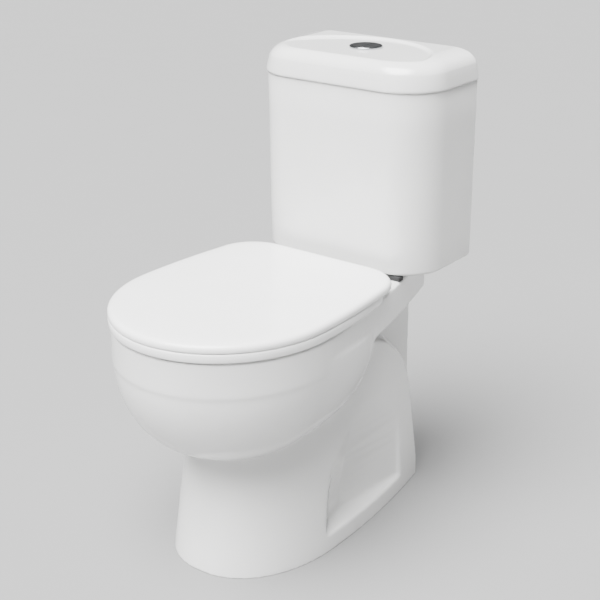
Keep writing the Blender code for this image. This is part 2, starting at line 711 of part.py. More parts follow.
def make_flush_valve():
    floor = TANK_FLOOR_Z + 0.0023 + GAP
    seat = floor + 0.004 + SEAT_TALL
    centre = (0, at(VALVE_D), 0)
    washer("flush_base_washer", TAIL_R + GAP, FLANGE_R, TANK_FLOOR_Z + GAP, floor - GAP,
           0, VALVE_D, "rubber")
    smooth(turned("flush_valve_base", [
        (OUTLET_BORE, TANK_Z - TAIL_DROP), (TAIL_R, TANK_Z - TAIL_DROP), (TAIL_R, floor),
        (FLANGE_R, floor), (FLANGE_R, floor + 0.004), (TAIL_R - 0.0005, floor + 0.004),
        (TAIL_R - 0.0005, seat), (OUTLET_BORE, seat)], centre, "white_plastic"))
    inner = CAGE_R - CAGE_WALL
    foot = floor + 0.004 + GAP
    cage = turned("flush_valve_cage", [
        (0, CAGE_TOP - CAGE_HEAD), (inner, CAGE_TOP - CAGE_HEAD), (inner, foot), (CAGE_R, foot),
        (CAGE_R, CAGE_TOP), (0, CAGE_TOP)], centre, "white_plastic")
    window = (seat + 0.004, seat + 0.055)
    cut(cage, block("window", (-0.014, 0.014), (VALVE_D - 0.05, VALVE_D + 0.05), window),
        block("window", (-0.05, 0.05), (VALVE_D - 0.014, VALVE_D + 0.014), window))
    for _, side in SIDES:
        cut(cage, rod("rod_hole", ROD_R + ROD_PLAY, CAGE_TOP - 0.02, CAGE_TOP + 0.02,
                      (side * ROD_X, at(VALVE_D), 0), sides=12))
    smooth(cage)
    washer("valve_seal", CORE_R - CORE_WALL + GAP, TAIL_R - 0.001, seat + GAP, seat + 0.003,
           0, VALVE_D, "rubber")
    flange = seat + 0.003 + GAP
    smooth(turned("overflow_tube", [
        (CORE_R - CORE_WALL, flange), (TAIL_R - 0.003, flange), (TAIL_R - 0.003, flange + 0.003),
        (CORE_R, flange + 0.006), (CORE_R, CORE_TOP), (CORE_R - CORE_WALL, CORE_TOP)],
        centre, "blue_plastic"))
    washer("flush_valve_backnut", TAIL_R + GAP, BACKNUT_R, TANK_Z - 0.014, TANK_Z - GAP,
           0, VALVE_D, "white_plastic")
    washer("doughnut_washer", BACKNUT_R + 0.0008, DOUGHNUT_R, DECK_Z + GAP, TANK_Z - GAP,
           0, VALVE_D, "rubber")


# ---------------------------------------------------------------- close coupling

def make_coupling(name, side):
    x = side * BOLT_X
    rubber_top = TANK_FLOOR_Z + GAP + 0.003
    shelf_under = DECK_Z - CHINA
    washer(f"bolt_rubber_{name}", COUPLING_BOLT_R + GAP, 0.010, TANK_FLOOR_Z + GAP, rubber_top,
           x, VALVE_D, "rubber", sides=16)
    head = rubber_top + GAP
    smooth(turned(f"coupling_bolt_{name}", [
        (0, shelf_under - 0.021), (COUPLING_BOLT_R, shelf_under - 0.021), (COUPLING_BOLT_R, head),
        (0.008, head), (0.008, head + 0.003), (0.0055, head + 0.005), (0, head + 0.005)],
        (x, at(VALVE_D), 0), "brass", sides=16))
    under = shelf_under - GAP
    washer(f"bolt_washer_{name}", COUPLING_BOLT_R + GAP, 0.011, under - 0.0015, under,
           x, VALVE_D, "zinc_steel", sides=16)
    top = under - 0.0015 - GAP
    nut = turned(f"wing_nut_{name}", [
        (COUPLING_BOLT_R + GAP, top - 0.009), (0.0065, top - 0.009), (0.0085, top),
        (COUPLING_BOLT_R + GAP, top)], (x, at(VALVE_D), 0), "brass", sides=16)
    for way in (-1, 1):
        wing = [(0.006, top - 0.004), (0.006, top - 0.009), (0.013, top - 0.015),
                (0.016, top - 0.014), (0.013, top - 0.006)]
        join(nut, loft("wing", [[(x + shift, at(VALVE_D + way * out), z) for out, z in wing]
                                for shift in (-0.001, 0.001)]))
    smooth(nut)


def make_front_strip():
    front = TANK_BASE_DEPTH - STRIP_SETBACK
    block("tank_cushion", (-STRIP_HALF, STRIP_HALF), (front - STRIP_DEPTH, front),
          (DECK_Z + GAP, TANK_Z - GAP), "rubber")


# ---------------------------------------------------------------- fill valve

def make_fill_valve():
    low = TANK_FLOOR_Z + GAP
    spot = (FILL_X, at(VALVE_D), 0)
    washer("fill_valve_washer", 0.0085, 0.016, low, low + 0.002, FILL_X, VALVE_D, "rubber", sides=16)
    seat = low + 0.002 + GAP
    smooth(turned("fill_valve_body", [
        (0, TANK_Z - 0.050), (0.0080, TANK_Z - 0.050), (0.0080, seat), (0.0150, seat),
        (0.0150, seat + 0.004), (0.0105, seat + 0.006), (0.0105, 0.640), (0, 0.640)],
        spot, "white_plastic", sides=20))
    washer("fill_valve_nut", 0.0083, 0.0140, TANK_Z - 0.014, TANK_Z - GAP, FILL_X, VALVE_D,
           "white_plastic", sides=20)
    cap = turned("fill_valve_cap", [
        (0, 0.640 + GAP), (0.0175, 0.640 + GAP), (0.0175, 0.660), (0.0130, 0.668), (0, 0.668)],
        spot, "grey_plastic", sides=20)
    clevis_x = FILL_X + 0.024
    for way in (-1, 1):
        join(cap, block("ear", (FILL_X + 0.012, clevis_x + 0.005),
                        sorted((VALVE_D + way * 0.0045, VALVE_D + way * 0.0075)), (0.646, 0.658)))
    cut(cap, rod("pin_hole", 0.0018, -0.02, 0.02, (clevis_x, at(VALVE_D), 0.652), axis="Y",
                 sides=12))
    smooth(cap)
    arm = block("float_arm", (clevis_x - 0.004, FLOAT_X + 0.012), (VALVE_D - 0.004, VALVE_D + 0.004),
                (0.649, 0.655), "grey_plastic")
    join(arm, rod("pin", 0.0015, -0.0072, 0.0072, (clevis_x, at(VALVE_D), 0.652), axis="Y",
                  sides=12))
    cut(arm, rod("rod_hole", 0.0024, 0.6, 0.7, (FLOAT_X, at(VALVE_D), 0), sides=12))
    rod("adjuster_rod", 0.0020, 0.6303, 0.664, (FLOAT_X, at(VALVE_D), 0), "blue_plastic", sides=12)
    smooth(turned("float_cup", [
        (0, 0.630), (0.0165, 0.630), (0.0185, 0.627), (0.0185, 0.560), (0.0170, 0.560),
        (0.0170, 0.625), (0, 0.625)], (FLOAT_X, at(VALVE_D), 0), "blue_plastic", sides=20))


# ---------------------------------------------------------------- seat

def polar(half, centre, count=60):
    """Loop of evenly turned rays from the centre line out to the outline."""
    loop = mirror(half)
    points = []
    for i in range(count):
        turn = 2 * math.pi * i / count
        ray = Vector((math.sin(turn), -math.cos(turn)))
        best = None
        for a, b in zip(loop, loop[1:] + loop[:1]):
            one, two = Vector((a[0], a[1] - centre)), Vector((b[0], b[1] - centre))
            side = two - one
            cross = ray.x * side.y - ray.y * side.x
            if abs(cross) < 1e-12:
                continue
            out = (one.x * side.y - one.y * side.x) / cross
            share = (one.x * ray.y - one.y * ray.x) / cross
            if out > 0 and -1e-9 <= share <= 1 + 1e-9:
                best = out if best is None else max(best, out)
        points.append((ray.x * best, centre + ray.y * best))
    return points


def seat_half(rear, shrink=0.0):
    return d_shape(SEAT_HALF - shrink, WIDEST, REACH - shrink, rear + shrink,
                   SEAT_REAR_HALF - shrink, SEAT_CORNER - shrink, steps=(6, 8, 16))


def lug_outline(reach, high):
    """Side view of a hinge lug: round at the pivot, running forwards into the seat."""
    points = arc(HINGE_D, HINGE_Z, BARREL_R, 270, 90, 8)
    return points + [(HINGE_D + reach, high), (HINGE_D + reach, HINGE_Z - BARREL_R)]


def bore_lugs(target):
    for _, side in SIDES:
        cut(target, rod("bore", PIN_R + PIN_PLAY, -0.03, 0.03,
                        (side * HINGE_X, at(HINGE_D), HINGE_Z), axis="X", sides=16))


def make_ring():
    middle = 0.40
    rear = SEAT_REAR + RING_SETBACK
    outer = [polar(seat_half(rear, shrink), middle) for shrink in (0.0015, 0, 0, 0.002)]
    hole = [polar(egg(RING_HOLE_HALF + grow, WIDEST, RING_HOLE_FRONT + grow, RING_HOLE_REAR + grow),
                  middle) for grow in (0.010, 0.003, 0, 0.0015)]
    levels = (RING_Z, RING_Z + 0.002, RING_TOP - 0.003, RING_TOP)
    loops = [level(loop, z) for loop, z in zip(outer, levels)]
    loops += [level(loop, z) for loop, z in zip(hole, (RING_TOP, RING_TOP - 0.003, RING_Z + 0.004,
                                                      RING_Z))]
    ring = loft("seat_ring", loops, "seat_plastic", ring=True)
    for _, side in SIDES:
        inner = side * (HINGE_X - BARREL_HALF - GAP)
        join(ring, side_prism("lug", lug_outline(0.030, RING_TOP - 0.001),
                              sorted((inner, inner - side * LUG))))
    bore_lugs(ring)
    return smooth(ring)


def make_cover():
    middle = 0.40
    steps = ((0, 0), (0, 0.0085), (0.0015, 0.0115), (0.005, COVER_TALL))
    loops = [level(polar(seat_half(SEAT_REAR, shrink), middle), COVER_Z + up) for shrink, up in steps]
    flat = polar(seat_half(SEAT_REAR, 0.005), middle)
    for share in (0.85, 0.6, 0.3):
        up = COVER_DOME * (1 - share ** 2)
        loops.append([(x * share, at(middle + (d - middle) * share), COVER_EDGE_TOP + up)
                      for x, d in flat])
    cover = loft("seat_cover", loops, "seat_plastic")
    inner = polar(seat_half(SEAT_REAR, COVER_WALL), middle)
    deep = COVER_EDGE_TOP - COVER_PLATE
    cut(cover, loft("inside", [level(inner, COVER_Z - 0.01), level(inner, deep - 0.002),
                               level(polar(seat_half(SEAT_REAR, COVER_WALL + 0.002), middle), deep)]))
    for _, side in SIDES:
        start = side * (HINGE_X + BARREL_HALF + GAP)
        outline = arc(HINGE_D, HINGE_Z, BARREL_R, 200, 360, 8) + [
            (HINGE_D + BARREL_R, deep + 0.001), (HINGE_D - BARREL_R, deep + 0.001)]
        join(cover, side_prism("lug", outline, sorted((start, start + side * LUG))))
    bore_lugs(cover)
    return smooth(cover)


def make_hinge(name, side):
    x = side * HINGE_X
    foot = DECK_Z + GAP
    post = turned(f"hinge_post_{name}", [
        (0, DECK_Z - 0.030), (0.003, DECK_Z - 0.030), (0.003, foot), (POST_FOOT_R, foot),
        (POST_FOOT_R, foot + 0.0014), (0.0045, foot + 0.002), (0.0045, HINGE_Z), (0, HINGE_Z)],
        (x, at(HINGE_D), 0), "chrome", sides=20)
    join(post, rod("barrel", BARREL_R, -BARREL_HALF, BARREL_HALF, (x, at(HINGE_D), HINGE_Z),
                   axis="X", sides=20))
    cut(post, rod("bore", PIN_R + PIN_PLAY, -0.02, 0.02, (x, at(HINGE_D), HINGE_Z), axis="X",
                  sides=16))
    smooth(post)
    long = BARREL_HALF + GAP + LUG + 0.0005
    rod(f"hinge_pin_{name}", PIN_R, -long, long, (x, at(HINGE_D), HINGE_Z), "zinc_steel", axis="X",
        sides=16)
    under = DECK_Z - CHINA - GAP
    washer(f"hinge_washer_{name}", 0.0034, 0.0095, under - 0.002, under, x, HINGE_D, "rubber",
           sides=16)
    smooth(turned(f"hinge_nut_{name}", [
        (0.0033, under - 0.012), (0.0065, under - 0.012), (0.0100, under - 0.004),
        (0.0100, under - 0.002 - GAP), (0.0033, under - 0.002 - GAP)],
        (x, at(HINGE_D), 0), "white_plastic", sides=16))


def make_buffers():
    """Rubber pads: four under the ring and two under the cover."""
    for name, side in SIDES:
        for place, x, d in (("front", 0.085, 0.573), ("rear", 0.145, 0.320)):
            rod(f"ring_buffer_{place}_{name}", 0.006, DECK_Z + GAP, RING_Z - GAP,
                (side * x, at(d), 0), "rubber", sides=12)
        rod(f"cover_buffer_{name}", 0.005, RING_TOP + GAP, COVER_EDGE_TOP - COVER_PLATE - GAP,
            (side * 0.145, at(0.420), 0), "rubber", sides=12)


# ---------------------------------------------------------------- floor fixing

def make_floor_fixing(name, side):
    """Angle bracket inside the skirt, screwed to the floor."""
    wall, d = 0.098, 0.415
    bracket = block(f"floor_bracket_{name}", sorted((side * 0.062, side * wall)),
                    (d - 0.020, d + 0.020), (GAP, 0.003), "zinc_steel")
    join(bracket, block("upright", sorted((side * (wall - 0.003), side * wall)),
                        (d - 0.020, d + 0.020), (0.001, 0.045)))
    cut(bracket, rod("hole", 0.0035, -0.01, 0.01, (side * 0.076, at(d), 0), sides=12))
    smooth(turned(f"floor_screw_{name}", [
        (0, GAP), (0.0030, GAP), (0.0030, 0.003 + GAP), (0.0065, 0.003 + GAP), (0.0050, 0.0065),
        (0, 0.0070)], (side * 0.076, at(d), 0), "zinc_steel", sides=12))


# ---------------------------------------------------------------- whole object

def main():
    clear_scene()
    make_pan()
    make_pedestal()
    make_trapway()
    make_tank()
    make_lid()
    make_bezel()
    make_bezel_nut()
    make_button("full", 1)
    make_button("half", -1)
    make_flush_valve()
    for name, side in SIDES:
        make_coupling(name, side)
        make_hinge(name, side)
        make_floor_fixing(name, side)
    make_front_strip()
    make_fill_valve()
    make_ring()
    make_cover()
    make_buffers()


main()
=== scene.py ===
import json
import math

import bmesh
import bpy
from mathutils import Matrix, Vector


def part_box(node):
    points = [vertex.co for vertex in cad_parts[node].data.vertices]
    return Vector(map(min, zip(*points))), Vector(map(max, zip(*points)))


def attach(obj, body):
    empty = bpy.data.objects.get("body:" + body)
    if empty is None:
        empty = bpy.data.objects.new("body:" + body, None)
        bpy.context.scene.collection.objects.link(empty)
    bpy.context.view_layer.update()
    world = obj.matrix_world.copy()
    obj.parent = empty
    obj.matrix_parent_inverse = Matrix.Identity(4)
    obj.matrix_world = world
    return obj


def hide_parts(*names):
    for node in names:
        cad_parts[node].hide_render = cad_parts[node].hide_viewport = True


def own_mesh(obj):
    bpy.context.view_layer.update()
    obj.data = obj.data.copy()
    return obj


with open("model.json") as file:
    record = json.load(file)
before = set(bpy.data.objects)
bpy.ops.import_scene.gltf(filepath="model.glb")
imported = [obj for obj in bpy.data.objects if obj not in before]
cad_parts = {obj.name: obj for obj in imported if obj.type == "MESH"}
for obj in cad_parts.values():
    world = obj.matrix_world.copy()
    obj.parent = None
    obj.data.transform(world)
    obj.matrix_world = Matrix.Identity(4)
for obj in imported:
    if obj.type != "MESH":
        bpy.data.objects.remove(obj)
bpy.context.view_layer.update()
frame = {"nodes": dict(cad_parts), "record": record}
nodes = frame["nodes"]

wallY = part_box("cistern_tank")[1].y  # the wall plane
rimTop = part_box("pan")[1].z          # rim and shelf
tankLow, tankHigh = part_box("cistern_tank")
lidLow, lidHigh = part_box("cistern_lid")
sides = (("left", -1), ("right", 1))
print("frame loaded,", len(nodes), "nodes")


# ---- mesh helpers ----

def fromWall(distance):
    return wallY - distance


def makeMesh(name, points, faces):
    mesh = bpy.data.meshes.new(name)
    mesh.from_pydata([tuple(p) for p in points], [], faces)
    work = bmesh.new()
    work.from_mesh(mesh)
    bmesh.ops.recalc_face_normals(work, faces=work.faces)
    work.to_mesh(mesh)
    work.free()
    made = bpy.data.objects.new(name, mesh)
    bpy.context.scene.collection.objects.link(made)
    mesh.shade_smooth()
    return made


def skin(name, loops, ring=False, capStart=True, capEnd=True):
    # skins over closed loops that have the same number of points
    count = len(loops[0])
    points = [p for loop in loops for p in loop]
    faces = []
    for row in range(len(loops) - (0 if ring else 1)):
        near, far = row * count, (row + 1) % len(loops) * count
        for i in range(count):
            j = (i + 1) % count
            faces.append((near + i, near + j, far + j, far + i))
    if not ring and capStart:
        faces.append(tuple(range(count)))
    if not ring and capEnd:
        faces.append(tuple(range((len(loops) - 1) * count, len(loops) * count)))
    return makeMesh(name, points, faces)


def spin(name, profile, centre, axis="Z", around=64):
    # turns (radius, height) corners round an axis; a profile clear of the axis makes a tube
    turn = {"Z": Matrix.Identity(3), "X": Matrix.Rotation(math.radians(90), 3, "Y")}[axis]
    loops = []
    for radius, height in profile:
        loop = []
        for i in range(around):
            a = 2 * math.pi * i / around
            reach = max(radius, 1e-5)
            spot = Vector((reach * math.cos(a), reach * math.sin(a), height))
            loop.append(turn @ spot + Vector(centre))
        loops.append(loop)
    return skin(name, loops, ring=all(radius > 0 for radius, _ in profile))


def slab(name, outline, ends):
    # (distance, z) outline pulled along X
    return skin(name, [[(x, fromWall(d), z) for d, z in outline] for x in ends])


def bakeMesh(piece):
    bpy.context.view_layer.update()
    graph = bpy.context.evaluated_depsgraph_get()
    mesh = bpy.data.meshes.new_from_object(piece.evaluated_get(graph))
    piece.modifiers.clear()
    piece.data = mesh
    return piece


def carve(target, operation, *tools):
    for tool in tools:
        step = target.modifiers.new("carve", "BOOLEAN")
        step.operation = operation
        step.solver = "EXACT"
        step.object = tool
        bakeMesh(target)
        bpy.data.objects.remove(tool, do_unlink=True)
    return target


def slipCast(piece, grain, easing):
    # one soft skin over the joined shapes, the way slip and glaze round every edge
    cast = piece.modifiers.new("cast", "REMESH")
    cast.mode = "VOXEL"
    cast.voxel_size = grain
    cast.use_smooth_shade = True
    ease = piece.modifiers.new("ease", "SMOOTH")
    ease.factor = 0.5
    ease.iterations = easing
    return bakeMesh(piece)


def crisp(piece, degrees=40):
    piece.data.shade_smooth()
    piece.data.set_sharp_from_angle(angle=math.radians(degrees))
    return piece


def weldTogether(target, *others):
    # keeps the parts as loose shells of one piece
    work = bmesh.new()
    work.from_mesh(target.data)
    for other in others:
        work.from_mesh(other.data)
        bpy.data.objects.remove(other, do_unlink=True)
    work.to_mesh(target.data)
    work.free()
    return target


# ---- outlines seen from above ----

def mirrored(half):
    return half + [(-x, d) for x, d in reversed(half[1:-1])]


def levelled(loop, z):
    return [(x, fromWall(d), z) for x, d in loop]


def arcOf(x, d, radius, start, end, count):
    turns = [math.radians(start + (end - start) * i / count) for i in range(count + 1)]
    return [(x + radius * math.cos(a), d + radius * math.sin(a)) for a in turns]


def seatOutline(half, widest, front, rear, rearHalf, corner, shrink=0.0, ease=2.0, power=2.0):
    # straight back, rounded rear corners, easing sides and an oval front
    half, front, rear, rearHalf = half - shrink, front - shrink, rear + shrink, rearHalf - shrink
    corner = max(corner - shrink, 0.003)
    points = [(0, rear)] + arcOf(rearHalf - corner, rear + corner, corner, -90, 0, 10)
    start = rear + corner
    for i in range(1, 16):
        d = start + (widest - start) * i / 16
        points.append((half - (half - rearHalf) * ((widest - d) / (widest - start)) ** ease, d))
    for i in range(37):
        a = math.pi / 2 * i / 36
        x = half * math.cos(a) ** (2 / power) if i < 36 else 0
        points.append((x, widest + (front - widest) * math.sin(a) ** (2 / power)))
    return points


def eggOutline(half, centre, frontLong, rearLong, rearPower=2.0, steps=32):
    points = []
    for i in range(steps + 1):
        a = math.pi / 2 * i / steps
        x = half * math.sin(a) ** (2 / rearPower)
        points.append((x, centre - rearLong * max(math.cos(a), 0) ** (2 / rearPower)))
    for i in range(1, steps + 1):
        a = math.pi / 2 * i / steps
        points.append((half * math.cos(a) if i < steps else 0, centre + frontLong * math.sin(a)))
    return points


def boxOutline(width, depth, corner, back=0.0, edge=0.005):
    half = width / 2
    points = [(0, back)] + arcOf(half - edge, back + edge, edge, -90, 0, 5)
    return points + arcOf(half - corner, depth - corner, corner, 0, 90, 24) + [(0, depth)]


# ---- pan ----

panLook = {
    "rimHalf": 0.1778, "rimFront": 0.6215, "widest": 0.433, "band": 0.060, "shelfRear": 0.016,
    "shelfHalf": 0.092, "wall": 0.012,
    "bandLow": 0.368, "bowlLow": 0.191, "bowlRear": 0.240, "bowlPower": 2.3,
    "footHalf": 0.134, "footWidest": 0.334, "footFront": 0.525, "footRear": 0.040,
    "footRearHalf": 0.104, "waist": 0.215, "waistHalf": 0.112, "waistFront": 0.490,
    "waistRearHalf": 0.099, "neckRear": 0.035, "shoulder": 0.036,
    "mouthHalf": 0.128, "mouthFront": 0.148, "mouthRear": 0.140, "underRim": 1.09,
    "ledge": 0.029, "trapBore": 0.026, "trapWall": 0.010, "outlet": 0.115,
    "grain": 0.0028, "easing": 6,
}


def rimShape(look, shrink=0.0):
    return mirrored(seatOutline(look["rimHalf"], look["widest"], look["rimFront"],
                                look["shelfRear"], look["shelfHalf"], 0.008, shrink, ease=1.5))


def rimAndShelf(look):
    low = rimTop - look["band"]
    loops = [levelled(rimShape(look, draw), z) for draw, z in (
        (0.005, low), (0.0015, low + 0.0015), (0.0, low + 0.005), (0.0, rimTop - 0.002),
        (0.0006, rimTop - 0.0006), (0.002, rimTop))]
    return skin("rim", loops)


def bowlSkin(look):
    loops = []
    drop = look["bandLow"] - look["bowlLow"]
    for i in range(34):
        z = look["bandLow"] + 0.006 - (drop + 0.004) * math.sin(math.pi / 2 * i / 33)
        down = max((look["bandLow"] - z) / drop, 0)
        size = (1 - down ** look["bowlPower"]) ** (1 / look["bowlPower"])
        loops.append(levelled(mirrored(eggOutline(
            (look["rimHalf"] - 0.001) * size, look["widest"],
            (look["rimFront"] - 0.001 - look["widest"]) * size, look["bowlRear"] * size, 3.0)), z))
    return skin("bowl", loops)


def footShape(look, z, shrink):
    up = min(max(z, 0) / look["waist"], 1.0)
    half, front, rear = ((1 - up) * low + up * high for low, high in (
        (look["footHalf"], look["waistHalf"]), (look["footFront"], look["waistFront"]),
        (look["footRearHalf"], look["waistRearHalf"])))
    return mirrored(seatOutline(half, look["footWidest"], front, look["footRear"], rear, 0.012,
                                shrink, power=2.2))


def archTool(look, shrink):
    # the back of the trap seen from the side, with a wide round shoulder towards each flank
    back = [(0.030, -0.03), (0.045, 0.05), (0.053, 0.10), (0.060, 0.15), (0.066, 0.185),
            (0.074, 0.215), (0.089, 0.246), (0.103, 0.265), (0.117, 0.280), (0.136, 0.297),
            (0.158, 0.311), (0.185, 0.323), (0.215, 0.333), (0.250, 0.342), (0.29, 0.349)]
    loops = []
    across = [0.0, 0.05] + [0.066 + 0.0535 * i / 14 for i in range(15)] + [0.3]
    for x in [-v for v in reversed(across[1:])] + across:
        past = min(max(abs(x) - 0.066, 0) / 0.054, 0.98)
        draw = look["shoulder"] * (1 - math.sqrt(1 - past ** 2)) + shrink * 0.7
        loop = []
        for i, (d, z) in enumerate(back):
            a, b = back[max(i - 1, 0)], back[min(i + 1, len(back) - 1)]
            run = Vector((b[0] - a[0], b[1] - a[1])).normalized()
            fade = min(max(z - 0.06, 0) / 0.12, 1)
            amount = draw * (0.35 + 0.65 * fade)
            loop.append((x, fromWall(d + run.y * amount), z - run.x * amount))
        loop += [(x, fromWall(0.32), 0.42), (x, fromWall(0.7), 0.42), (x, fromWall(0.7), -0.03)]
        loops.append(loop)
    return skin("arch", loops)


def neckShape(look, z, shrink):
    flare = min(max(0.20 - z, 0) / 0.20, 1)
    half = 0.077 + 0.026 * flare ** 1.5 - shrink
    rear = look["neckRear"] + 0.004 * flare + shrink
    points = [(0, rear)] + arcOf(half - 0.016, rear + 0.016, 0.016, -90, 0, 8)
    return mirrored(points + [(half, 0.10), (half, 0.18), (half * 0.9, 0.24), (0, 0.262 - shrink)])


def flankNotch(look, side, grow):
    # hollow over the foot's ledge that runs out to nothing as it rises
    loops = []
    for i in range(13):
        share = i / 12
        z = look["ledge"] - grow + (0.178 + 2 * grow) * share
        fade = min(max((share - 0.15) / 0.85, 0), 1)
        deep = 0.0915 + 0.0215 * fade * fade * (3 - 2 * fade) - grow
        loops.append([(side * deep, fromWall(0.268), z),
                      (side * (0.1085 - grow), fromWall(0.120), z),
                      (side * 0.2, fromWall(0.110), z), (side * 0.2, fromWall(0.367), z),
                      (side * (0.1285 - grow), fromWall(0.357 + grow), z),
                      (side * (deep + 0.012), fromWall(0.318), z)])
    return skin("notch", loops)


def footAndColumn(look, name, shrink=0.0):
    top = rimTop - look["band"] + 0.012
    heights = [-shrink - 0.004, 0.02, 0.05, 0.08, 0.11, 0.14, 0.17, 0.19, look["waist"], 0.26,
               0.30, top]
    foot = skin(name, [levelled(footShape(look, z, shrink), z) for z in heights])
    carve(foot, "INTERSECT", archTool(look, shrink))
    neck = [levelled(neckShape(look, z, shrink), z) for z in
            [-shrink - 0.004] + [0.02 * i for i in range(1, 11)] + [0.26, rimTop - 0.02]]
    carve(foot, "UNION", skin("neck", neck))
    return carve(foot, "DIFFERENCE", flankNotch(look, -1, shrink), flankNotch(look, 1, shrink))


def basinShape(look, scale, slide, grow=0.0):
    return mirrored(eggOutline(look["mouthHalf"] * scale + grow, look["widest"] - slide,
                               look["mouthFront"] * scale + grow, look["mouthRear"] * scale + grow))


def basinTool(look, grow=0.0):
    steps = [(rimTop + 0.02, 1.0, 0), (0.380, 1.0, 0), (0.375, 1.03, 0), (0.368, 1.075, 0),
             (0.355, look["underRim"], 0), (0.330, 1.06, 0.002), (0.305, 1.0, 0.004),
             (0.280, 0.92, 0.008), (0.257, 0.83, 0.012), (0.235, 0.72, 0.018), (0.215, 0.61, 0.024),
             (0.195, 0.50, 0.030), (0.180, 0.42, 0.035), (0.168, 0.36, 0.038), (0.157, 0.29, 0.039),
             (0.150, 0.20, 0.040)]
    if grow:
        steps = [(rimTop - 0.006, 1.0, 0)] + steps[1:]
    return skin("basin", [levelled(basinShape(look, scale, slide, grow),
                                   z - (grow if z == 0.150 else 0)) for z, scale, slide in steps])


def trapTool(look, radius, longer=0.0):
    route = [(0.392, 0.182), (0.370, 0.158), (0.340, 0.150), (0.308, 0.160), (0.276, 0.190),
             (0.246, 0.226), (0.214, 0.256), (0.180, 0.268), (0.148, 0.258), (0.126, 0.230),
             (look["outlet"], 0.190), (look["outlet"], 0.02 - longer)]
    loops = []
    for i, (d, z) in enumerate(route):
        before, after = route[max(i - 1, 0)], route[min(i + 1, len(route) - 1)]
        run = Vector((after[0] - before[0], after[1] - before[1])).normalized()
        loops.append([(radius * math.cos(a), fromWall(d - run.y * radius * math.sin(a)),
                       z + run.x * radius * math.sin(a))
                      for a in (2 * math.pi * k / 32 for k in range(32))])
    return skin("trap", loops)


def makePan(look):
    pan = footAndColumn(look, "china_pan")
    carve(pan, "UNION", rimAndShelf(look), bowlSkin(look))
    low, inner = rimTop - look["band"], rimTop - look["wall"]
    carve(pan, "DIFFERENCE", footAndColumn(look, "hollow", look["wall"]))
    for _, side in sides:
        pocket = [(0.077, 0.028), (0.080, 0.028), (0.115, 0.222), (0.077, 0.222)]
        carve(pan, "DIFFERENCE", skin("pocket", [levelled([(side * x, d) for x, d in pocket], z)
                                                 for z in (low - 0.01, inner)]))
    carve(pan, "UNION", slab("duct", [(0.040, 0.330), (0.285, 0.330), (0.285, inner + 0.004),
                                      (0.040, inner + 0.004)], (-0.042, 0.042)),
          basinTool(look, look["wall"]), trapTool(look, look["trapBore"] + look["trapWall"]))
    carve(pan, "DIFFERENCE", basinTool(look), trapTool(look, look["trapBore"], 0.03),
          slab("flushWay", [(0.052, 0.34), (0.32, 0.34), (0.32, 0.378), (0.052, 0.378)],
               (-0.03, 0.03)),
          spin("inlet", [(0, 0.35), (0.0355, 0.35), (0.0355, 0.43), (0, 0.43)],
               (0, fromWall(0.085), 0)))
    for _, side in sides:
        for x, d, radius in ((0.080, 0.085, 0.006), (0.0775, 0.201, 0.0055)):
            carve(pan, "DIFFERENCE",
                  spin("pocket", [(0, 0.33), (0.017, 0.33), (0.017, inner), (0, inner)],
                       (side * x, fromWall(d), 0), around=24),
                  spin("hole", [(0, 0.37), (radius, 0.37), (radius, 0.43), (0, 0.43)],
                       (side * x, fromWall(d), 0), around=24))
    slipCast(pan, look["grain"], look["easing"])
    for corner in pan.data.vertices:  # the foot is ground flat
        corner.co.z = max(corner.co.z, 0.0)
    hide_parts("pan", "pedestal", "trapway")
    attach(pan, "fixed")
    return pan


# ---- cistern ----

tankLook = {"width": 0.337, "baseWidth": 0.3352, "depth": 0.173, "baseDepth": 0.165,
            "corner": 0.076, "wall": 0.009, "floor": 0.012, "edge": 0.007}


def tankShape(look, up, shrink=0.0):
    width = look["baseWidth"] + (look["width"] - look["baseWidth"]) * up
    depth = look["baseDepth"] + (look["depth"] - look["baseDepth"]) * up
    corner = look["corner"] - 0.006 * (1 - up) - shrink
    return mirrored(boxOutline(width - 2 * shrink, depth - shrink, corner, shrink))


def makeTank(look):
    low, high = tankLow.z, tankHigh.z
    tall = high - low
    loops = []
    for i in range(7):
        a = math.pi / 2 * i / 6
        z = look["edge"] * (1 - math.cos(a))
        loops.append(levelled(tankShape(look, z / tall, look["edge"] * (1 - math.sin(a))), low + z))
    loops += [levelled(tankShape(look, up), low + tall * up) for up in (0.15, 0.35, 0.6, 0.8, 0.99)]
    loops += [levelled(tankShape(look, 1, 0.0008), high - 0.0008),
              levelled(tankShape(look, 1, 0.002), high)]
    loops += [levelled(tankShape(look, 1, look["wall"] - 0.001), high),
              levelled(tankShape(look, 0.99, look["wall"]), high - 0.002)]
    loops += [levelled(tankShape(look, up, look["wall"]), low + look["floor"] + 0.02 + tall * up)
              for up in (0.8, 0.5, 0.2, 0.0)]
    loops += [levelled(tankShape(look, 0, look["wall"] + draw), low + look["floor"] + rise)
              for draw, rise in ((0.002, 0.010), (0.006, 0.003), (0.014, 0.0))]
    tank = skin("china_cistern", loops)
    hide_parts("cistern_tank")
    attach(tank, "fixed")
    return tank


lidLook = {
    "overhang": 0.003, "wall": 0.008, "lip": 0.010,
    "shoulder": [(0.0, 0.0012), (0.0012, 0.0), (0.010, 0.0012), (0.020, 0.0030), (0.028, 0.0050),
                 (0.033, 0.0078), (0.037, 0.0112), (0.040, 0.0150), (0.0425, 0.0195),
                 (0.0445, 0.0250), (0.0460, 0.0310), (0.0471, 0.0375), (0.0477, 0.0440)],
    "dishHalf": 0.137, "dishWidest": 0.118, "dishRear": 0.107, "dishFront": 0.060,
    "dishDepth": 0.0034, "grain": 0.0017, "easing": 5,
}


def lidShape(look, draw, back=0.0):
    width = tankLook["width"] + 2 * look["overhang"] - 2 * draw
    depth = tankLook["depth"] + look["overhang"] - draw
    corner = tankLook["corner"] + look["overhang"] - draw * 0.45
    return mirrored(boxOutline(width, depth, corner, back, 0.006))


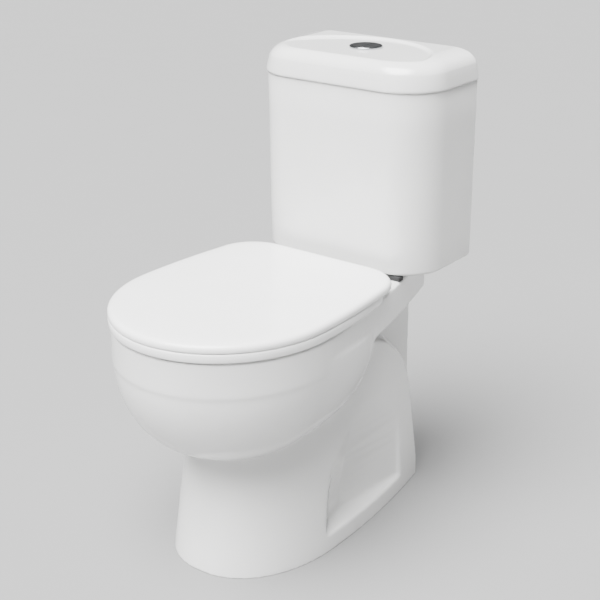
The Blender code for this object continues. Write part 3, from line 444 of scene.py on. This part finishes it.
def makeLid(look, button):
    foot = tankHigh.z + 0.0004
    top = foot + look["shoulder"][-1][0]
    lid = skin("china_lid", [levelled(lidShape(look, draw, 0.001), foot + rise)
                             for rise, draw in look["shoulder"]])
    under = [(-0.02, look["wall"]), (0.020, look["wall"] + 0.002), (0.032, look["wall"] + 0.010),
             (0.037, look["wall"] + 0.026)]
    carve(lid, "DIFFERENCE", skin("under", [levelled(lidShape(look, draw, 0.008), foot + rise)
                                            for rise, draw in under]))
    outer, inner = (tankShape(tankLook, 1, tankLook["wall"] + draw) for draw in (0.002, 0.0075))
    wide = tankShape(tankLook, 1, 0.004)
    carve(lid, "UNION", skin("lip", [levelled(outer, foot - look["lip"]),
                                     levelled(outer, foot + 0.001), levelled(wide, foot + 0.001),
                                     levelled(wide, foot + 0.014), levelled(inner, foot + 0.014),
                                     levelled(inner, foot - look["lip"])], ring=True))
    floor = top - look["dishDepth"]
    dish = []
    for rise, grow in ((0.02, 0.004), (look["dishDepth"], 0.003), (look["dishDepth"] * 0.5, 0.0),
                       (0, -0.003)):
        oval = eggOutline(look["dishHalf"] + grow, look["dishWidest"], look["dishFront"] + grow,
                          look["dishRear"] + grow, 1.9, 48)
        dish.append(levelled(mirrored(oval), floor + rise))
    hole = spin("hole", [(0, foot), (0.0262, foot), (0.0262, top + 0.02), (0, top + 0.02)],
                (0, fromWall(button), 0), around=96)
    carve(lid, "DIFFERENCE", skin("dish", dish), hole)
    slipCast(lid, look["grain"], look["easing"])
    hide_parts("cistern_lid")
    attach(lid, "lid")
    return lid


# ---- flush buttons ----

buttonLook = {"distance": 0.078, "gap": 0.0004, "point": 0.0038, "dome": 0.0012,
              "flange": 0.0274, "sleeve": 0.0254, "wall": 0.0016, "play": 0.0005,
              "rods": 0.0095}


def makeBezel(look):
    low, high = (corner.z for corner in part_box("button_bezel"))
    inner = look["sleeve"] - look["wall"]
    seat = high - 0.0040
    profile = [(0, low), (look["sleeve"], low), (look["sleeve"], seat)]
    profile += [(look["flange"] - 0.0003, seat), (look["flange"], seat + 0.0004)]
    profile += [(look["flange"] - 0.0014 + 0.0014 * math.cos(a),
                 high - 0.0014 + 0.0014 * math.sin(a))
                for a in (math.pi / 2 * i / 8 for i in range(9))]
    profile += [(inner + 0.0005, high), (inner, high - 0.0005), (inner, low + 0.003),
                (0, low + 0.003)]
    bezel = crisp(spin("chrome_bezel", profile, (0, fromWall(look["distance"]), 0), around=96), 50)
    for _, side in sides:
        rod = spin("rodHole", [(0, low - 0.01), (0.0034, low - 0.01), (0.0034, low + 0.02),
                               (0, low + 0.02)], (side * buttonLook["rods"], fromWall(look["distance"]), 0),
                   around=24)
        carve(bezel, "DIFFERENCE", rod)
    crisp(bezel, 50)
    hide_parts("button_bezel")
    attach(bezel, "lid")
    return bezel


def makeButton(look, name, side, body):
    # one half of the round button, parted along a chevron, with softly rolled edges
    low, high = (corner.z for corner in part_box(f"{name}_flush_button"))
    radius = look["sleeve"] - look["wall"] - look["play"]
    plate = high - 0.0030
    centre = Vector((0, fromWall(look["distance"])))

    def outline(inset):
        reach, shift = radius - inset, side * (look["gap"] / 2 + inset)
        points = []
        for i in range(33):
            a = math.pi * (i / 32 - 0.5)
            x = side * reach * math.cos(a)
            points.append((x if abs(x) > abs(shift) else shift, reach * math.sin(a)))
        for i in range(9):
            share = i / 8
            way = abs(2 * share - 1)
            points.append((look["point"] * (1 - way) + shift, reach * (1 - 2 * share) * 0.985))
        return points

    def place(inset, z, dome=0.0):
        made = []
        for x, y in outline(inset):
            away = math.hypot(x, y) / radius
            made.append((centre.x + x, centre.y + y, z + dome * (1 - away ** 2)))
        return made

    loops = [place(0, plate), place(0, high - 0.0009), place(0.0003, high - 0.0003),
             place(0.0008, high - look["dome"] * 0.2, look["dome"] * 0.2)]
    middle = Vector((sum(p[0] for p in loops[-1]), sum(p[1] for p in loops[-1]))) / len(loops[-1])
    for share in (0.75, 0.45, 0.15):
        loops.append([(middle.x + (x - middle.x) * share, middle.y + (y - middle.y) * share, z)
                      for x, y, z in loops[3]])
    button = crisp(skin(f"chrome_{name}_button", loops), 35)
    stem = spin("stem", [(0, low), (0.0028, low), (0.0028, plate + 0.001), (0, plate + 0.001)],
                (side * buttonLook["rods"], centre.y, 0), around=24)
    weldTogether(button, stem)
    crisp(button, 35)
    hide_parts(f"{name}_flush_button")
    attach(button, body)
    return button


def makeSpring(name, side):
    low, high = (corner.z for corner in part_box(f"{name}_button_spring"))
    wire, coil, turns = 0.0005, 0.0041, 5
    loops = []
    for i in range(turns * 28 + 1):
        a = 2 * math.pi * i / 28
        z = low + wire + (high - low - 2 * wire) * i / (turns * 28)
        loop = []
        for k in range(10):
            b = 2 * math.pi * k / 10
            reach = coil + wire * math.cos(b)
            loop.append((side * buttonLook["rods"] + reach * math.cos(a),
                         fromWall(buttonLook["distance"]) + reach * math.sin(a),
                         z + wire * math.sin(b)))
        loops.append(loop)
    spring = skin(f"coil_{name}", loops)
    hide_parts(f"{name}_button_spring")
    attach(spring, "lid")
    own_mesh(spring)
    return spring


# ---- seat ----

seatLook = {
    "half": 0.180, "widest": 0.433, "front": 0.625, "rear": 0.191, "rearHalf": 0.168,
    "corner": 0.072, "ringSetback": 0.022, "holeHalf": 0.112, "holeFront": 0.140,
    "holeRear": 0.128, "middle": 0.40, "rays": 168, "hingeX": 0.0775, "hinge": 0.201,
    "hingeZ": 0.423, "lugRadius": 0.0065, "lugWide": 0.0087, "barrelHalf": 0.0078,
}


def rays(look, half):
    # the outline read along evenly turned rays, so that every loop has matching points
    loop = mirrored(half)
    points = []
    for i in range(look["rays"]):
        a = 2 * math.pi * i / look["rays"]
        ray = Vector((math.sin(a), -math.cos(a)))
        best = 0
        for (x1, d1), (x2, d2) in zip(loop, loop[1:] + loop[:1]):
            one, step = Vector((x1, d1 - look["middle"])), Vector((x2 - x1, d2 - d1))
            cross = ray.x * step.y - ray.y * step.x
            if abs(cross) < 1e-12:
                continue
            out = (one.x * step.y - one.y * step.x) / cross
            share = (one.x * ray.y - one.y * ray.x) / cross
            if out > best and -1e-9 <= share <= 1 + 1e-9:
                best = out
        points.append((ray.x * best, look["middle"] + ray.y * best))
    return points


def seatShape(look, shrink, setback=0.0):
    return rays(look, seatOutline(look["half"], look["widest"], look["front"],
                                  look["rear"] + setback, look["rearHalf"], look["corner"], shrink))


def seatHole(look, grow):
    return rays(look, eggOutline(look["holeHalf"] + grow, look["widest"], look["holeFront"] + grow,
                                 look["holeRear"] + grow))


def lug(look, side, start, outline):
    ends = sorted((start, start + side * look["lugWide"]))
    inner = [(look["hinge"] + (d - look["hinge"]) * 0.93,
              look["hingeZ"] + (z - look["hingeZ"]) * 0.93)
             for d, z in outline]
    xs = (ends[0], ends[0] + 0.0006, ends[1] - 0.0006, ends[1])
    return skin("lug", [[(x, fromWall(d), z) for d, z in shape]
                        for x, shape in zip(xs, (inner, outline, outline, inner))])


def makeRing(look):
    low, high = (corner.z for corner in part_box("seat_ring"))
    high = min(high, low + 0.0145)
    outer = [(0.0022, low), (0.0006, low + 0.0007), (0.0, low + 0.002), (0.0, high - 0.0028),
             (0.0005, high - 0.0011), (0.0018, high - 0.0002), (0.0060, high)]
    inner = [(0.0070, high), (0.0030, high - 0.0008), (0.0008, high - 0.0030), (0.0, high - 0.006),
             (0.0015, low + 0.004), (0.0045, low + 0.001), (0.0080, low)]
    loops = [levelled(seatShape(look, draw, look["ringSetback"]), z) for draw, z in outer]
    loops += [levelled(seatHole(look, draw), z) for draw, z in inner]
    ring = skin("moulded_ring", loops, ring=True)
    for _, side in sides:
        start = side * (look["hingeX"] - look["barrelHalf"])
        shape = arcOf(look["hinge"], look["hingeZ"], look["lugRadius"], 270, 90, 20)
        shape += [(look["hinge"] + 0.022, high - 0.001),
                  (look["hinge"] + 0.022, look["hingeZ"] - look["lugRadius"])]
        weldTogether(ring, lug(look, -side, start, shape))
    crisp(ring, 50)
    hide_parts("seat_ring")
    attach(ring, "ring")
    return ring


def makeCover(look):
    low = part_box("seat_ring")[0].z + 0.0153
    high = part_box("seat_cover")[1].z
    edge = high - 0.0030
    profile = [(0.0010, low), (0.0003, low + 0.0003), (0.0, low + 0.0010), (0.0, edge - 0.0075),
               (0.0007, edge - 0.0050), (0.0024, edge - 0.0027), (0.0052, edge - 0.0012),
               (0.0095, edge - 0.0002)]
    loops = [levelled(seatShape(look, draw), z) for draw, z in profile]
    last = seatShape(look, profile[-1][0])
    for share in (0.93, 0.84, 0.72, 0.58, 0.42, 0.26, 0.10):
        z = edge + (high - edge) * (1 - share ** 2.2)
        loops.append([(x * share, fromWall(look["middle"] + (d - look["middle"]) * share), z)
                      for x, d in last])
    under = [(0.0052, low), (0.0030, low + 0.0012), (0.0032, edge - 0.0075),
             (0.0070, edge - 0.0045)]
    inner = [levelled(seatShape(look, draw), z) for draw, z in under]
    last = seatShape(look, under[-1][0])
    flat = [[(x * share, fromWall(look["middle"] + (d - look["middle"]) * share), edge - 0.0045)
             for x, d in last] for share in (0.7, 0.3, 0.1)]
    cover = skin("moulded_cover", list(reversed(flat)) + list(reversed(inner)) + loops)
    for _, side in sides:
        start = side * (look["hingeX"] + look["barrelHalf"])
        shape = arcOf(look["hinge"], look["hingeZ"], look["lugRadius"], 200, 360, 20)
        shape += [(look["hinge"] + look["lugRadius"], edge - 0.004),
                  (look["hinge"] - look["lugRadius"], edge - 0.004)]
        weldTogether(cover, lug(look, side, start, shape))
    crisp(cover, 50)
    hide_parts("seat_cover")
    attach(cover, "cover")
    return cover


def makePost(look, name, side):
    x = side * look["hingeX"]
    spot = (x, fromWall(look["hinge"]), 0)
    profile = [(0, 0.380), (0.003, 0.380), (0.003, rimTop + 0.0003), (0.0103, rimTop + 0.0003),
               (0.0105, rimTop + 0.0008), (0.0100, rimTop + 0.0015), (0.0075, rimTop + 0.0020),
               (0.0055, rimTop + 0.0028), (0.0045, rimTop + 0.0040), (0.0045, look["hingeZ"]),
               (0, look["hingeZ"])]
    post = spin(f"chrome_post_{name}", profile, spot, around=48)
    half, radius = 0.0075, 0.0065
    barrel = spin("barrel", [(0, -half), (radius - 0.0008, -half), (radius, -half + 0.0008),
                             (radius, half - 0.0008), (radius - 0.0008, half), (0, half)],
                  (x, fromWall(look["hinge"]), look["hingeZ"]), axis="X", around=48)
    weldTogether(post, barrel)
    crisp(post, 40)
    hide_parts(f"hinge_post_{name}")
    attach(post, "fixed")
    return post


# ---- rubber strip under the cistern's front ----

def makeStrip():
    low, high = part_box("tank_cushion")
    loops = []
    ends = (low.x - 0.008, high.x + 0.008)
    for x in (ends[0], ends[0] + 0.0015, ends[1] - 0.0015, ends[1]):
        draw = 0.0012 if x in ends else 0.0
        ring = []
        for cornerY, cornerZ, start in ((high.y, high.z, 0), (low.y, high.z, 90),
                                        (low.y, low.z, 180), (high.y, low.z, 270)):
            wayY = -1 if cornerY == high.y else 1
            wayZ = -1 if cornerZ == high.z else 1
            for i in range(5):
                a = math.radians(start + 90 * i / 4)
                ring.append((x, cornerY + wayY * (0.0015 + draw) + 0.0015 * math.cos(a),
                             cornerZ + wayZ * (0.0015 + draw) + 0.0015 * math.sin(a)))
        loops.append(ring)
    strip = crisp(skin("rubber_strip", loops), 50)
    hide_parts("tank_cushion")
    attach(strip, "fixed")
    return strip


# ---- materials ----

def colourOf(code):
    # sRGB hex to linear
    made = []
    for i in (0, 2, 4):
        share = int(code[i:i + 2], 16) / 255
        made.append(share / 12.92 if share <= 0.04045 else ((share + 0.055) / 1.055) ** 2.4)
    return (*made, 1.0)


def addNode(tree, kind, settings=None, links=None):
    made = tree.nodes.new(kind)
    for name, value in (settings or {}).items():
        if isinstance(name, str) and hasattr(made, name):
            setattr(made, name, value)
        else:
            made.inputs[name].default_value = value
    for name, source in (links or {}).items():
        tree.links.new(source, made.inputs[name])
    return made


finishes = {
    # vitreous china under a fired clear glaze: cool white, wet gloss, faint ripple 18 mm long
    "glazedVitreousChina": {"light": "e3e3e2", "dark": "dededd", "cloud": 120,
                            "gloss": (0.04, 0.07),
                            "ior": 1.52, "metal": 0, "grain": 18, "bump": 0.03, "depth": 0.0003,
                            "coat": 0.3},
    # compression moulded duroplast: brighter, a little softer in gloss, 4 mm sink marks
    "mouldedDuroplast": {"light": "efefef", "dark": "ececeb", "cloud": 90, "gloss": (0.12, 0.17),
                         "ior": 1.5, "metal": 0, "grain": 14, "bump": 0.03, "depth": 0.0003,
                         "coat": 0.0},
    # chrome plate on moulded plastic: mirror with fine polishing haze, drawn 1.5 mm wide to show
    "satinChromePlate": {"light": "b9bbbd", "dark": "a2a5a8", "cloud": 12, "gloss": (0.16, 0.28),
                         "ior": None, "metal": 1, "grain": 1.5, "bump": 0.04, "depth": 0.0001,
                         "coat": 0.0},
    # zinc plated steel: grey spangle a few millimetres wide, dull shine
    "zincPlatedSteel": {"light": "b4b8ba", "dark": "8f9496", "cloud": 4, "gloss": (0.30, 0.45),
                        "ior": None, "metal": 1, "grain": 2, "bump": 0.08, "depth": 0.0001,
                        "coat": 0.0},
    # plain machined brass: warm, slightly tarnished in patches
    "machinedBrass": {"light": "c9a25c", "dark": "93703a", "cloud": 9, "gloss": (0.25, 0.42),
                      "ior": None, "metal": 1, "grain": 1.5, "bump": 0.06, "depth": 0.0001,
                      "coat": 0.0},
    # moulded acetal, white: satin, fine spark eroded tool grain, drawn 1.2 mm wide to show
    "mouldedAcetal": {"light": "e9ebeb", "dark": "dfe2e2", "cloud": 30, "gloss": (0.34, 0.44),
                      "ior": 1.48, "metal": 0, "grain": 1.2, "bump": 0.10, "depth": 0.0001,
                      "coat": 0.0},
    # moulded ABS, mid grey: same tool grain
    "mouldedGreyAbs": {"light": "7d8389", "dark": "6f757b", "cloud": 30, "gloss": (0.36, 0.46),
                       "ior": 1.54, "metal": 0, "grain": 1.2, "bump": 0.10, "depth": 0.0001,
                       "coat": 0.0},
    # moulded polypropylene, blue: waxy sheen
    "mouldedBluePolypropylene": {"light": "2f62ad", "dark": "27549a", "cloud": 30,
                                 "gloss": (0.32, 0.42), "ior": 1.49, "metal": 0, "grain": 1.5,
                                 "bump": 0.08, "depth": 0.0001, "coat": 0.0},
    # black sealing rubber: matt, with a dusty bloom in patches
    "blackSealingRubber": {"light": "2b2b2c", "dark": "161617", "cloud": 12, "gloss": (0.62, 0.80),
                           "ior": 1.52, "metal": 0, "grain": 0.8, "bump": 0.18, "depth": 0.0001,
                           "coat": 0.0},
}

finishOfSlot = {"china": "glazedVitreousChina", "seat_plastic": "mouldedDuroplast",
                "chrome": "satinChromePlate", "white_plastic": "mouldedAcetal",
                "grey_plastic": "mouldedGreyAbs", "blue_plastic": "mouldedBluePolypropylene",
                "rubber": "blackSealingRubber", "brass": "machinedBrass",
                "zinc_steel": "zincPlatedSteel"}


def makeFinish(name, look):
    made = bpy.data.materials.new(name)
    made.use_nodes = True
    tree = made.node_tree
    tree.nodes.clear()
    place = addNode(tree, "ShaderNodeTexCoord").outputs["Object"]
    cloud = addNode(tree, "ShaderNodeTexNoise", {"Scale": 1000 / look["cloud"], "Detail": 3.0},
                    {"Vector": place}).outputs["Fac"]
    tint = addNode(tree, "ShaderNodeValToRGB", links={"Fac": cloud})
    tint.color_ramp.elements[0].position = 0.3
    tint.color_ramp.elements[0].color = colourOf(look["dark"])
    tint.color_ramp.elements[1].position = 0.7
    tint.color_ramp.elements[1].color = colourOf(look["light"])
    gloss = addNode(tree, "ShaderNodeMapRange",
                    {"To Min": look["gloss"][0], "To Max": look["gloss"][1]},
                    {"Value": cloud}).outputs["Result"]
    grain = addNode(tree, "ShaderNodeTexNoise", {"Scale": 1000 / look["grain"], "Detail": 2.0},
                    {"Vector": place}).outputs["Fac"]
    bump = addNode(tree, "ShaderNodeBump", {"Strength": look["bump"], "Distance": look["depth"]},
                   {"Height": grain}).outputs["Normal"]
    shader = addNode(tree, "ShaderNodeBsdfPrincipled",
                     {"Metallic": look["metal"], "Coat Weight": look["coat"],
                      "Coat Roughness": 0.03},
                     {"Base Color": tint.outputs["Color"], "Roughness": gloss, "Normal": bump})
    if look["ior"]:
        shader.inputs["IOR"].default_value = look["ior"]
    addNode(tree, "ShaderNodeOutputMaterial", links={"Surface": shader.outputs["BSDF"]})
    return made


def paint(piece, finish):
    piece.data.materials.clear()
    piece.data.materials.append(finish)


# ---- studio ----

studioLook = {
    "camera": (1.2306, -1.5484, 1.1838), "turn": 37.5, "tilt": 21.7, "roll": -0.2, "lens": 79.56,
    "floor": "8a8a8a", "skyFrom": (-0.03, -0.42, 0.91), "skyDark": 0.24, "skyBright": 46.0,
}


def makeCamera(look):
    turn, tilt = math.radians(look["turn"]), math.radians(look["tilt"])
    back = Vector((math.sin(turn) * math.cos(tilt), -math.cos(turn) * math.cos(tilt),
                   math.sin(tilt)))
    facing = (-back).to_track_quat("-Z", "Y").to_matrix()
    facing = facing @ Matrix.Rotation(math.radians(look["roll"]), 3, "Z")
    lens = bpy.data.cameras.new("camera")
    lens.lens = look["lens"]
    lens.clip_end = 20
    made = bpy.data.objects.new("camera", lens)
    made.matrix_world = Matrix.Translation(Vector(look["camera"])) @ facing.to_4x4()
    bpy.context.scene.collection.objects.link(made)
    bpy.context.scene.camera = made


def softBox(name, place, target, size, power):
    lamp = bpy.data.lights.new(name, "AREA")
    lamp.shape = "RECTANGLE"
    lamp.size, lamp.size_y = size
    lamp.energy = power
    made = bpy.data.objects.new(name, lamp)
    aim = (Vector(target) - Vector(place)).to_track_quat("-Z", "Y")
    made.matrix_world = Matrix.Translation(Vector(place)) @ aim.to_matrix().to_4x4()
    bpy.context.scene.collection.objects.link(made)


def makeStudio(look):
    reach = 9.0
    loop = [(-reach, -reach), (reach, -reach), (reach, reach), (-reach, reach)]
    floor = makeMesh("studio_floor", [(x, y, -0.0005) for x, y in loop], [(0, 1, 2, 3)])
    paint(floor, makeFinish("paintedFloor", {
        "light": look["floor"], "dark": look["floor"], "cloud": 200, "gloss": (0.5, 0.6),
        "ior": 1.5, "metal": 0, "grain": 3, "bump": 0.02, "depth": 0.0001, "coat": 0.0}))
    world = bpy.data.worlds.new("studio")
    world.use_nodes = True
    tree = world.node_tree
    tree.nodes.clear()
    way = addNode(tree, "ShaderNodeTexCoord").outputs["Generated"]
    facing = addNode(tree, "ShaderNodeVectorMath", {"operation": "DOT_PRODUCT", 1: look["skyFrom"]},
                     {0: way}).outputs["Value"]
    level = addNode(tree, "ShaderNodeMapRange",
                    {"interpolation_type": "SMOOTHSTEP", "From Min": 0.84, "From Max": 1.0,
                     "To Min": look["skyDark"], "To Max": look["skyBright"]}, {"Value": facing})
    sky = addNode(tree, "ShaderNodeBackground", links={"Strength": level.outputs["Result"]})
    addNode(tree, "ShaderNodeOutputWorld", links={"Surface": sky.outputs["Background"]})
    bpy.context.scene.world = world
    softBox("rightEdge", (2.0, 0.4, 1.4), (0, 0, 0.4), (0.25, 1.6), 1.0)


pan = makePan(panLook)
print("pan cast,", len(pan.data.polygons), "faces")
tank = makeTank(tankLook)
lid = makeLid(lidLook, buttonLook["distance"])
print("cistern and lid cast,", len(lid.data.polygons), "faces")
bezel = makeBezel(buttonLook)
buttons = [makeButton(buttonLook, "full", 1, "full_button"),
           makeButton(buttonLook, "half", -1, "half_button")]
springs = [makeSpring("full", 1), makeSpring("half", -1)]
print("flush buttons made")
ring = makeRing(seatLook)
cover = makeCover(seatLook)
posts = [makePost(seatLook, name, side) for name, side in sides]
print("seat made")
strip = makeStrip()

finished = {name: makeFinish(name, look) for name, look in finishes.items()}
for piece in (pan, tank, lid):
    paint(piece, finished["glazedVitreousChina"])
for piece in (ring, cover):
    paint(piece, finished["mouldedDuroplast"])
for piece in (bezel, *buttons, *posts):
    paint(piece, finished["satinChromePlate"])
for piece in springs:
    paint(piece, finished["zincPlatedSteel"])
paint(strip, finished["blackSealingRubber"])
for part in frame["record"]["subparts"]:
    node = nodes[part["node"]]
    for place in node.material_slots:
        place.material = finished[finishOfSlot[part["material_slot"]]]
print("finishes applied")

makeCamera(studioLook)
makeStudio(studioLook)
